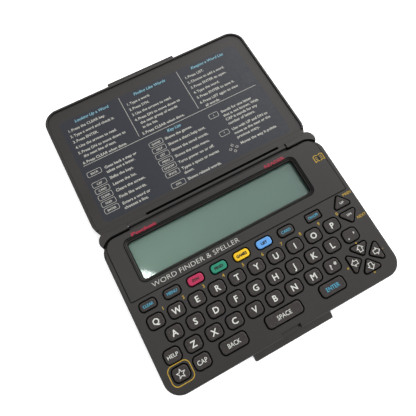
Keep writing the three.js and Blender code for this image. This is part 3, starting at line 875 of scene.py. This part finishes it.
# ---- what repeats underneath: a piece set on points by geometry nodes ----
def repeatNodes():
    group = bpy.data.node_groups.new("repeatPiece", "GeometryNodeTree")
    for name, kind in (
        ("Points", "NodeSocketGeometry"), ("Piece", "NodeSocketObject"), ("Material", "NodeSocketMaterial"),
        ("Turn", "NodeSocketFloat"), ("Seed", "NodeSocketInt"),
    ):
        group.interface.new_socket(name, in_out="INPUT", socket_type=kind)
    group.interface.new_socket("Geometry", in_out="OUTPUT", socket_type="NodeSocketGeometry")
    nodes, links = group.nodes, group.links
    given = nodes.new("NodeGroupInput")
    source = nodes.new("GeometryNodeObjectInfo")
    links.new(given.outputs["Piece"], source.inputs["Object"])
    angle = nodes.new("FunctionNodeRandomValue")
    angle.data_type = "FLOAT"
    links.new(given.outputs["Turn"], angle.inputs[3])
    links.new(given.outputs["Seed"], angle.inputs["Seed"])
    turn = nodes.new("ShaderNodeCombineXYZ")
    links.new(angle.outputs[1], turn.inputs["Z"])
    copies = nodes.new("GeometryNodeInstanceOnPoints")
    links.new(given.outputs["Points"], copies.inputs["Points"])
    links.new(source.outputs["Geometry"], copies.inputs["Instance"])
    links.new(turn.outputs["Vector"], copies.inputs["Rotation"])
    real = nodes.new("GeometryNodeRealizeInstances")
    links.new(copies.outputs["Instances"], real.inputs["Geometry"])
    coat = nodes.new("GeometryNodeSetMaterial")
    links.new(real.outputs["Geometry"], coat.inputs["Geometry"])
    links.new(given.outputs["Material"], coat.inputs["Material"])
    out = nodes.new("NodeGroupOutput")
    links.new(coat.outputs["Geometry"], out.inputs["Geometry"])
    return group


repeatGroup = repeatNodes()


def repeated(name, template, points, material, turn=0.0, seed=1):
    work = bmesh.new()
    for x, y, z in points:
        work.verts.new((x * mm, y * mm, z * mm))
    piece = newPiece(name, work)
    change = piece.modifiers.new("repeat", "NODES")
    change.node_group = repeatGroup
    inputs = [item for item in repeatGroup.interface.items_tree if item.in_out == "INPUT"]
    sockets = {item.name: item.identifier for item in inputs}
    change[sockets["Piece"]] = template
    change[sockets["Material"]] = material
    change[sockets["Turn"]] = turn
    change[sockets["Seed"]] = seed
    settle(piece)
    bpy.data.objects.remove(template)
    return piece


under = {
    "screwRadius": 2.1, "screwHead": 1.3, "crossWidth": 0.5, "crossReach": 1.25, "crossDepth": 0.7,
    "padRadius": 3.0, "padThickness": 0.55, "ribs": 9, "ribPitch": 1.5, "ribWidth": 0.6, "ribLength": 11.0,
}


def screws():
    head = under["screwRadius"]
    screw = loft("screw", roundedLevels(roundOutline(0, 0, head), 0, under["screwHead"], bottomRound=0.45))
    reach, half, depth = under["crossReach"], under["crossWidth"] / 2, under["crossDepth"]
    for x, y in ((reach, half), (half, reach)):
        cross = rectangle(-x, x, -y, y, 0.1)
        narrow = rectangle(-x * 0.6, x * 0.6, -y * 0.6, y * 0.6, 0.06)
        combine(screw, [loft("cross", [(cross, -0.5), (cross, 0.05), (narrow, depth)])])
    z = case["footHeight"] + lower["screwSink"] - under["screwHead"] - 0.02
    spots = [(x, y, z + 0.35) for x, y in cornerSpots(lower["screwInset"])]
    piece = repeated("caseScrews", screw, spots, steel, 2 * math.pi, 7)
    finishPiece(piece, "base", steel)


def footPads():
    size = under["padRadius"]
    square = roundOutline(0, 0, size)
    levels = roundedLevels(square, 0, under["padThickness"], bottomRound=0.2)
    inner = [(grown(square, -0.7), 0.0), (grown(square, -0.8), 0.06), (grown(square, -1.2), 0.06)]
    pad = loft("pad", inner[::-1] + levels)
    spots = [(x, y, 0.0) for x, y in cornerSpots(lower["footInset"])]
    piece = repeated("footPads", pad, spots, rubber, 2 * math.pi, 3)
    finishPiece(piece, "base", rubber)


def batteryCover():
    corners = grown(bayOutline, 0.12 - bayGap)
    top = coverHigh.z
    cover = loft("cover", roundedLevels(corners, coverLow.z, top, bottomRound=0.35))
    notch = rectangle(-4.5, 4.5, coverLow.y - 2, coverLow.y + 2.2, 1.0)
    combine(cover, [prism("notch", notch, coverLow.z - 1, coverLow.z + 0.6)])
    half, length = under["ribWidth"] / 2, under["ribLength"] / 2
    bar = rectangle(-length, length, -half, half, half - 0.02)
    rib = loft("rib", roundedLevels(bar, -0.18, 0.1, bottomRound=0.15))
    y = coverHigh.y - 4
    spots = [(0, y - k * under["ribPitch"], coverLow.z) for k in range(under["ribs"])]
    ribs = repeated("ribs", rib, spots, plasticCase)
    unite(cover, ribs)
    finishPiece(cover, "battery_cover", plasticCase, ["battery_cover"])


def coinCell(node):
    low, high = boxOf(node)
    x, y = (low.x + high.x) / 2, (low.y + high.y) / 2
    size = (high.x - low.x) / 2 - 0.02
    square = roundOutline(x, y, size)
    levels = [(grown(square, -0.7), low.z + 0.12), (grown(square, -0.6), low.z)]
    levels += [(grown(square, -0.3), low.z + 0.02), (grown(square, 0), low.z + 0.3), (square, high.z - 0.9)]
    levels += [(grown(square, -0.25), high.z - 0.7), (grown(square, -0.9), high.z - 0.65)]
    levels += [(grown(square, -1.0), high.z - 0.3), (grown(square, -1.3), high.z)]
    cell = loft("coinCell_" + node[10:], levels)
    finishPiece(cell, "base", steel, [node])
    plus = inkLayer("cellMark_" + node[10:], "base", steel, low.z + 0.1)
    plus.line(x - 1.6, y, x + 1.6, y, 0.5)
    plus.line(x, y - 1.6, x, y + 1.6, 0.5)
    plus.make()


screws()
footPads()
batteryCover()
for node in ("coin_cell_left", "coin_cell_right"):
    coinCell(node)
print("stage: underside made")

# ---- the lid, in its own frame: the hinge axis is the origin and +Y runs to the free edge ----
lid = {
    "sideInset": 0.5,
    "thickness": 3.33,
    "innerDrop": 2.65,
    "skin": 1.5,
    "freeRadius": 8.3,
    "neckY": 7.6,
    "neckInset": 4.3,
    "neckRadius": 10,
    "rearReach": 0.9,
    "rimWidth": 1.2,
    "rimRise": 0.8,
    "rimRound": 0.4,
    "edgeRound": 1.4,
    "hingeBlock": 6.0,
    "knuckleGap": 0.3,
    "slotLeft": 10.2,
    "slotRight": 2.5,
    "slotWidth": 2.35,
    "sweepGap": 0.3,
    "earRise": 1.4,
    "earDrop": 5.4,
    "earRadius": 4.4,
    "earInset": 0.85,
    "pinEndCover": 1.5,
    "linerThickness": 1.2,
    "linerGap": 0.06,
    "seatGap": 0.3,
    "tabSkin": 2.2,
    "catchSlot": 0.8,
}
lidHalf = caseHalf - lid["sideInset"]
lidLength = axisY - frontY
lidReach = lidLength + case["tabReach"]
outerDrop = lid["innerDrop"] + lid["thickness"]
lidOutline = [
    (-lidHalf + lid["neckInset"], -lid["rearReach"], lid["rearReach"]),
    (lidHalf - lid["neckInset"], -lid["rearReach"], lid["rearReach"]),
    (lidHalf, lid["neckY"], lid["neckRadius"]), (lidHalf, lidLength, lid["freeRadius"]),
    (-lidHalf, lidLength, lid["freeRadius"]), (-lidHalf, lid["neckY"], lid["neckRadius"]),
]
hingeFront = upper["barrelRadius"] + lid["seatGap"]


def onLid(piece):
    piece.data.transform(lidPlace)
    return piece


def lidEar(side):
    cornerX = caseHalf - case["cornerRadius"]
    reach = axisY - rearY + case["cornerRadius"]
    swept = case["cornerRadius"] + lid["sweepGap"]
    start, end = barrelHalf + lid["knuckleGap"], caseHalf - lid["earInset"]
    profile = [(start, axisY - rearY - lid["sweepGap"])]
    for k in range(17):
        x = cornerX + (end - cornerX) * k / 16
        profile.append((x, reach - math.sqrt(swept ** 2 - (x - cornerX) ** 2)))
    work = bmesh.new()
    rings = []
    for x, radius in profile:
        rings.append([work.verts.new((side * x * mm, y * mm, z * mm)) for y, z in circle(0, 0, radius, 64)])
    work.faces.new(rings[0])
    work.faces.new(rings[-1])
    for low, high in zip(rings, rings[1:]):
        for i in range(64):
            work.faces.new((low[i - 1], low[i], high[i], high[i - 1]))
    bmesh.ops.recalc_face_normals(work, faces=work.faces)
    turned = newPiece("ear", work)
    rear = rearY - axisY
    across = sorted((side * barrelHalf, side * end))
    plan = rectangle(*across, rear - lid["earRadius"], rear + lid["earRadius"], 0.05)
    plan = [(x, y, lid["earRadius"] - 0.01 if abs(x) > barrelHalf + 1 else 0.05) for x, y, rounding in plan]
    return combine(turned, [prism("plan", plan, -lid["earDrop"], lid["earRise"])], "INTERSECT")


def lidTab():
    outer, top, reach = -outerDrop, -outerDrop + lid["tabSkin"], lidReach
    root = lidLength - 1.2
    section = [(root, outer + 0.4), (reach - 0.4, outer), (reach, outer + 0.4)]
    section += [(reach, top - 0.4), (reach - 0.4, top), (root, top)]
    half = upper["tabWidth"] / 2
    centre = upper["catchCentre"]
    tab = softened(rail("tab", section, centre - half, centre + half), 0.2, 2, 30)
    half = upper["catchWidth"] / 2
    start = lidLength + lid["seatGap"]
    end = start + lid["catchSlot"]
    slot = block("slot", centre - half, centre + half, start, end, outer - 1, top + 1)
    return combine(tab, [slot])


def lidShell():
    rimTop = -lid["innerDrop"] + lid["rimRise"]
    skinTop = -outerDrop + lid["skin"]
    slotEnd = upper["barrelRadius"] + lid["slotWidth"]
    shell = loft("lidShell", roundedLevels(
        lidOutline, -outerDrop, rimTop, bottomRound=lid["edgeRound"], topRound=lid["rimRound"], steps=5
    ))
    trayOutline = grown(lidOutline, -lid["rimWidth"])
    trayRim = grown(trayOutline, 0.15)
    tray = loft("tray", [
        (trayOutline, skinTop), (trayOutline, rimTop - 0.15), (trayRim, rimTop), (trayRim, 1)
    ])
    rear = -lid["rearReach"] - 2
    behind = block("behind", -caseHalf - 1, caseHalf + 1, rear, lid["hingeBlock"], skinTop, 1)
    combine(shell, [tray])
    combine(shell, [behind])
    inner = rectangle(-lidHalf, lidHalf, hingeFront, lid["hingeBlock"], 0.05)
    bridge = prism("bridge", lidOutline, skinTop - 0.5, -lid["innerDrop"])
    combine(bridge, [prism("limit", inner, -outerDrop, 0)], "INTERSECT")
    slotLeft, slotRight = -barrelHalf + lid["slotLeft"], barrelHalf - lid["slotRight"]
    slot = block("slot", slotLeft, slotRight, 0, slotEnd, skinTop, 0)
    combine(bridge, [slot])
    unite(shell, bridge)
    for side in (-1, 1):
        start = side * (barrelHalf + lid["knuckleGap"])
        end = side * (lidHalf - lid["neckInset"] - lid["rearReach"])
        neck = block("neck", *sorted((start, end)), -lid["rearReach"], hingeFront, skinTop - 0.5, 0)
        unite(shell, lidEar(side), neck)
    unite(shell, lidTab())
    pinEnd = caseHalf - lid["pinEndCover"]
    combine(shell, [roundBar(-pinEnd, pinEnd, 0, 0, upper["boreRadius"], 32)])
    toLid = lidPlace.inverted()
    cornerX = caseHalf - case["cornerRadius"]
    cornerY = rearY - axisY - case["cornerRadius"]

    # painted shade for faces that look at the case across the hinge, and for the walls of the slot
    def inGap(centre, normal):
        x, y, z = (toLid @ (centre * mm)) / mm
        if abs(normal.x) > 0.7 and abs(x) < barrelHalf + 0.5:
            return True
        if y < 1.4:
            across = max(-cornerX, min(cornerX, x)) - x
            toCase = Vector((across, cornerY - y)).normalized()
            return normal.xy.dot(toCase) > 0.5 and abs(x) < caseHalf - lid["earInset"] + 0.1
        return y < slotEnd + 0.1 and (z < -4 or normal.z < 0.5) and abs(x) < barrelHalf

    finishPiece(onLid(shell), "lid", plasticLid, ["lid_shell"], inGap)


def lidLiner():
    outline = grown(lidOutline, -lid["rimWidth"] - lid["linerGap"])
    top = -lid["innerDrop"]
    liner = loft("liner", roundedLevels(outline, top - lid["linerThickness"], top, topRound=0.08, steps=2))
    start = lid["hingeBlock"] + lid["linerGap"]
    combine(liner, [block("cut", -caseHalf, caseHalf, -5, start, -outerDrop, 1)])
    finishPiece(onLid(liner), "lid", plasticLid, ["lid_liner"])


lidShell()
lidLiner()
print("stage: lid made")

# ---- the guide printed on the liner ----
guide = {
    "left": -53.6, "right": 53.3, "front": 7.8, "rear": 70.6, "radius": 3.0,
    "columns": (-18.7, 16.6), "ruleY": 41.3, "ruleLeft": -51.2, "ruleRight": 51.0,
    "headingY": 68.2, "headingHeight": 1.75, "keysHeadingY": 39.1,
    "firstRow": 63.9, "entryPitch": 3.6, "linePitch": 2.85, "textHeight": 1.6,
    "keyRow": 35.5, "keyPitch": 3.9, "keyLinePitch": 2.7, "boxHeight": 2.9,
}
guideColumns = [
    (-50.8, -35.5, "Looking Up a Word", [
        ["Press the CLEAR key."], ["Type a word and check it."], ["Press ENTER."],
        ["Use the arrows to read."], ["Press DN to move down to", "the next line of text."],
        ["Press CLEAR when done."],
    ]),
    (-16.6, -1.0, "Finding Like Words", [
        ["Type a word."], ["Press SYN."], ["Use the arrows to read."],
        ["Press DN to move down to", "the next group of words", "in the list."], ["Press CLEAR when done."],
    ]),
    (18.9, 34.9, "Keeping a Word List", [
        ["Press LIST."], ["Choose to add a word."], ["Press ENTER to open."],
        ["Type the word."], ["Press ENTER to save it."], ["Press LIST again to view", "all words."],
    ]),
]
guideKeys = [
    (-51.5, 7.6, -42.0, [
        ("BACK", ["Goes back a step or", "takes out a letter."]), ("CAP", ["Shifts the keys."]),
        ("CARD", ["Leaves the list."]), ("CLEAR", ["Clears the screen."]), ("FIND", ["Finds like words."]),
        ("ENTER", ["Enters a word or", "chooses a line."]),
    ]),
    (-16.4, 7.6, -7.4, [
        ("GAMES", ["Shows the games."]), ("HELP", ["Shows a short help text."]),
        ("LIST", ["Shows the saved words."]),
        ("MENU", ["Shows the main menu."]), ("ON/OFF", ["Turns power on or off."]),
        ("SPACE", ["Types a space or moves", "down."]), ("SYN", ["Shows related words."]),
    ]),
    (19.0, 5.3, 26.1, [
        ("?", [
            "Stands for one letter", "that is not known. With",
            "CAP it stands for any", "number of letters.",
        ]),
        ("*", ["Use with UP and DN to", "move to the next or the", "previous entry."]),
        ("", ["Moves the way it points."]),
    ]),
]


def printGuide():
    z = -lid["innerDrop"]
    field = inkLayer("guideField", "lid", inks["field"], z - 0.01, lidPlace)
    field.patch(rectangle(guide["left"], guide["right"], guide["front"], guide["rear"], guide["radius"]))
    heading = inkLayer("guideHeadings", "lid", inks["heading"], z + 0.01, lidPlace)
    text = inkLayer("guideText", "lid", inks["cream"], z + 0.01, lidPlace)
    field.make()
    for x in guide["columns"]:
        text.line(x, guide["ruleY"] + 1.9, x, guide["rear"] - 0.6, 0.22)
    text.line(guide["ruleLeft"], guide["ruleY"], guide["ruleRight"], guide["ruleY"], 0.22)
    heading.words("Key List", -0.5, guide["keysHeadingY"], guide["headingHeight"], weight=0.05, lean=0.2)
    for x, middle, title, entries in guideColumns:
        heading.words(title, middle, guide["headingY"], guide["headingHeight"], weight=0.04, lean=0.2)
        y = guide["firstRow"]
        for number, lines in enumerate(entries, 1):
            text.words(str(number) + ".", x, y, guide["textHeight"], align="LEFT", weight=0.03)
            for line in lines:
                text.words(line, x + 1.9, y, guide["textHeight"], align="LEFT", weight=0.03)
                y -= guide["linePitch"]
            y -= guide["entryPitch"] - guide["linePitch"]
    for x, width, textX, entries in guideKeys:
        y = guide["keyRow"]
        for word, lines in entries:
            if word:
                half = guide["boxHeight"] / 2
                text.outline(rectangle(x, x + width, y - half, y + half, 0.7), 0.18)
                text.words(word, x + width / 2, y, 1.15, weight=0.02)
            else:
                for turns, (dx, dy) in enumerate(((0, 1.9), (-1.9, 0), (0, -1.9), (1.9, 0))):
                    text.sharpOutline(arrowPoints(x + 2.6 + dx, y - 0.8 + dy, 1.5, turns), 0.14)
            for line in lines:
                text.words(line, textX, y, guide["textHeight"], align="LEFT", weight=0.03)
                y -= guide["keyLinePitch"]
            y -= guide["keyPitch"] - guide["keyLinePitch"]
    heading.make()
    text.make()


printGuide()
print("stage: guide printed")

# ---- printing on the base, and a painted shade band at the window's edge ----
marks = {
    "title": "WORD FINDER & SPELLER", "titleX": -23.5, "titleY": -30.6, "titleWidth": 45.4,
    "titleHeight": 2.4, "titleWeight": -0.055, "redY": -4.75, "redHeight": 1.7,
    "digitY": -42.0, "digitHeight": 1.55, "digitShift": 5.3,
    "pageX": 57.2, "pageWords": (("PREV", -35.5), ("NEXT", -48.2)),
    "padSigns": (("+", 47.2, -58.4), ("x", 37.2, -66.5), ("-", 56.9, -66.1), ("=", 47.2, -73.9)),
    "signHeight": 1.3, "bookX": 55.2, "bookY": -13.4,
}


def printBase():
    title = inkLayer("titleText", "base", inks["white"], plateauTop)
    title.words(
        marks["title"], marks["titleX"], marks["titleY"], marks["titleHeight"], marks["titleWidth"],
        weight=marks["titleWeight"],
    )
    title.make()
    red = inkLayer("redMarks", "base", inks["red"], plateauTop)
    red.words("Pocket", -38.4, marks["redY"], marks["redHeight"], 13.0, weight=0.08)
    red.words("READER", 34.0, marks["redY"], marks["redHeight"], 11.4, weight=0.05)
    red.make()
    gold = inkLayer("goldMarks", "base", inks["gold"], plateTop)
    for number, name in enumerate("qwertyuiop", 1):
        low, high = boxOf("key_" + name)
        x = (low.x + high.x) / 2 + marks["digitShift"]
        gold.words(str(number % 10), x, marks["digitY"], marks["digitHeight"], weight=0.04)
    for word, y in marks["pageWords"]:
        gold.words(word, marks["pageX"], y, marks["signHeight"], 4.9, weight=0.03)
    low, high = boxOf("key_star")
    gold.outline(grown(rectangle(low.x, high.x, low.y, high.y, 1.9), 0.65), 0.38)
    for sign, x, y in marks["padSigns"]:
        gold.words(sign, x, y, marks["signHeight"], weight=0.05)
    gold.make()
    book = inkLayer("bookMark", "base", inks["gold"], plateauTop)
    x, y = marks["bookX"], marks["bookY"]
    for side in (-1, 1):
        page = [(x, y + 1.5), (x + side * 1.4, y + 2.1), (x + side * 2.6, y + 1.6)]
        page += [(x + side * 2.6, y - 1.5), (x + side * 1.4, y - 1.0), (x, y - 1.6)]
        book.sharpOutline(page if side < 0 else page[::-1], 0.38)
        book.line(x + side * 0.7, y + 0.6, x + side * 1.9, y + 0.8, 0.28)
        book.line(x + side * 0.7, y - 0.3, x + side * 1.9, y - 0.1, 0.28)
    book.make()


def printWindow():
    top = boxOf("display_window")[1].z
    # a black band 0.45 wide along the inside of the window opening: painted shade where the opening's wall
    # meets the window
    edgeShade = inkLayer("windowBorder", "base", inks["black"], top - printing["proud"])
    edgeShade.band(traced(grown(openingOutline, 0.4)), traced(grown(openingOutline, -0.45)))
    edgeShade.make()


printBase()
printWindow()
print("stage: base printed")


# ---- display, window and what is inside ----
def displayFinish():
    kit = finish("liquidCrystal")
    # painted reflection and shade: lighter at the left, darker towards the right and the front right; the
    # noise mixed in after that varies the tone at random
    tone = kit.mix(kit.along(1, 0.3, -50, 35), (0.098, 0.146, 0.124), (0.056, 0.093, 0.079))
    tone = kit.mix(kit.along(0.6, -1, 8, 60), tone, (0.060, 0.096, 0.085))
    tone = kit.mix(kit.times(kit.spread(kit.noise(25, 2), 0, 1), 0.25), tone, (0.07, 0.108, 0.09))
    kit.drive("Base Color", tone)
    kit.drive("Roughness", kit.spread(kit.noise(400, 3), 0.4, 0.5))
    kit.drive("Coat Roughness", kit.spread(kit.noise(120, 2), 0.04, 0.07))
    kit.drive("Coat Weight", 0.8)
    kit.drive("Specular IOR Level", 0.1)
    kit.drive("Normal", kit.bump(kit.noise(900, 2), 0.02, 0.01))
    return kit.material


# clear plastic with a little dust on it; the polish shows on the display just under it
def windowFinish():
    kit = finish("clearWindow")
    kit.drive("Base Color", kit.mix(kit.noise(500, 2), (0.2, 0.2, 0.2), (0.3, 0.3, 0.3)))
    kit.drive("Roughness", kit.spread(kit.noise(300, 3), 0.5, 0.7))
    kit.drive("Normal", kit.bump(kit.noise(1200, 2), 0.1, 0.02))
    kit.drive("Specular IOR Level", 0.0)
    clear = kit.add("ShaderNodeBsdfTransparent")
    clear.inputs["Color"].default_value = (0.96, 0.98, 0.97, 1)
    blend = kit.add("ShaderNodeMixShader")
    kit.link(kit.spread(kit.noise(900, 4, 0.7), 0.0, 0.02, 0.5, 0.8), blend.inputs["Fac"])
    kit.link(clear.outputs["BSDF"], blend.inputs[1])
    kit.link(kit.shader.outputs["BSDF"], blend.inputs[2])
    kit.link(blend.outputs["Shader"], kit.tree.nodes["Material Output"].inputs["Surface"])
    return kit.material


for node, material in (
    ("lcd_module", displayFinish()), ("display_window", windowFinish()), ("circuit_board", lacquer),
    ("keypad_mat", silicone), ("hinge_pin", steel),
):
    slots = frame["nodes"][node].data.materials
    if len(slots):
        slots[0] = material
    else:
        slots.append(material)
print("stage: inner parts finished")


# ---- floor, light and camera ----
studio = {
    "ambient": (0.45, 2.8),  # from the left side to the right
    "floorGlow": 0.4,
    # x, y, height, width, depth, watts
    "lamps": {
        "rightSoftbox": (820, 720, 900, 700, 700, 6),
        "leftSoftbox": (-700, -100, 800, 500, 500, 2.5),
        "cornerLamp": (-120, 92, 700, 68, 65, 0.5),
    },
}


def stageAndLight():
    work = bmesh.new()
    reach = 3000
    corners = [(-reach, -reach), (reach, -reach), (reach, reach), (-reach, reach)]
    work.faces.new([work.verts.new((x * mm, y * mm, 0)) for x, y in corners])
    floor = newPiece("floor", work)
    paper = plainFinish("paleFloor", ((0.86, 0.86, 0.86), (0.88, 0.88, 0.88)), 0.7, 0.0, 3.0)
    shader = paper.node_tree.nodes["Principled BSDF"]
    shader.inputs["Emission Color"].default_value = (1, 1, 1, 1)
    shader.inputs["Emission Strength"].default_value = studio["floorGlow"]
    floor.data.materials.append(paper)
    floor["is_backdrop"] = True
    world = bpy.data.worlds.new("studio")
    world.use_nodes = True
    tree = world.node_tree
    background = tree.nodes["Background"]
    background.inputs["Color"].default_value = (1, 1, 1, 1)
    across = tree.nodes.new("ShaderNodeVectorMath")
    across.operation = "DOT_PRODUCT"
    across.inputs[1].default_value = (1, 0.25, 0)
    tree.links.new(tree.nodes.new("ShaderNodeTexCoord").outputs["Generated"], across.inputs[0])
    brighter = tree.nodes.new("ShaderNodeMapRange")
    for name, value in zip(("From Min", "From Max", "To Min", "To Max"), (-0.3, 0.6, *studio["ambient"])):
        brighter.inputs[name].default_value = value
    tree.links.new(across.outputs["Value"], brighter.inputs["Value"])
    tree.links.new(brighter.outputs["Result"], background.inputs["Strength"])
    bpy.context.scene.world = world
    for name, (x, y, z, sizeX, sizeY, power) in studio["lamps"].items():
        lamp = bpy.data.lights.new(name, "AREA")
        lamp.shape = "RECTANGLE"
        lamp.size, lamp.size_y = sizeX * mm, sizeY * mm
        lamp.energy = power
        holder = bpy.data.objects.new(name, lamp)
        holder.visible_diffuse = name != "cornerLamp"
        holder.location = Vector((x, y, z)) * mm
        holder.rotation_euler = (-holder.location).to_track_quat("-Z", "Y").to_euler()
        bpy.context.scene.collection.objects.link(holder)


stageAndLight()

view = bpy.data.cameras.new("camera")
view.sensor_width = 36
view.lens = 35.8
view.clip_start = 0.01
camera = bpy.data.objects.new("camera", view)
camera.location = Vector((-34.21, -60.28, 203.07)) * mm
camera.rotation_euler = [math.radians(a) for a in (16.657, -0.257, -28.249)]
bpy.context.scene.collection.objects.link(camera)
bpy.context.scene.camera = camera
bpy.context.scene.view_settings.view_transform = "Standard"
print("stage: floor, light and camera set")

boxes = [[list(corner) for corner in box] for box in (cadBox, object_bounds())]
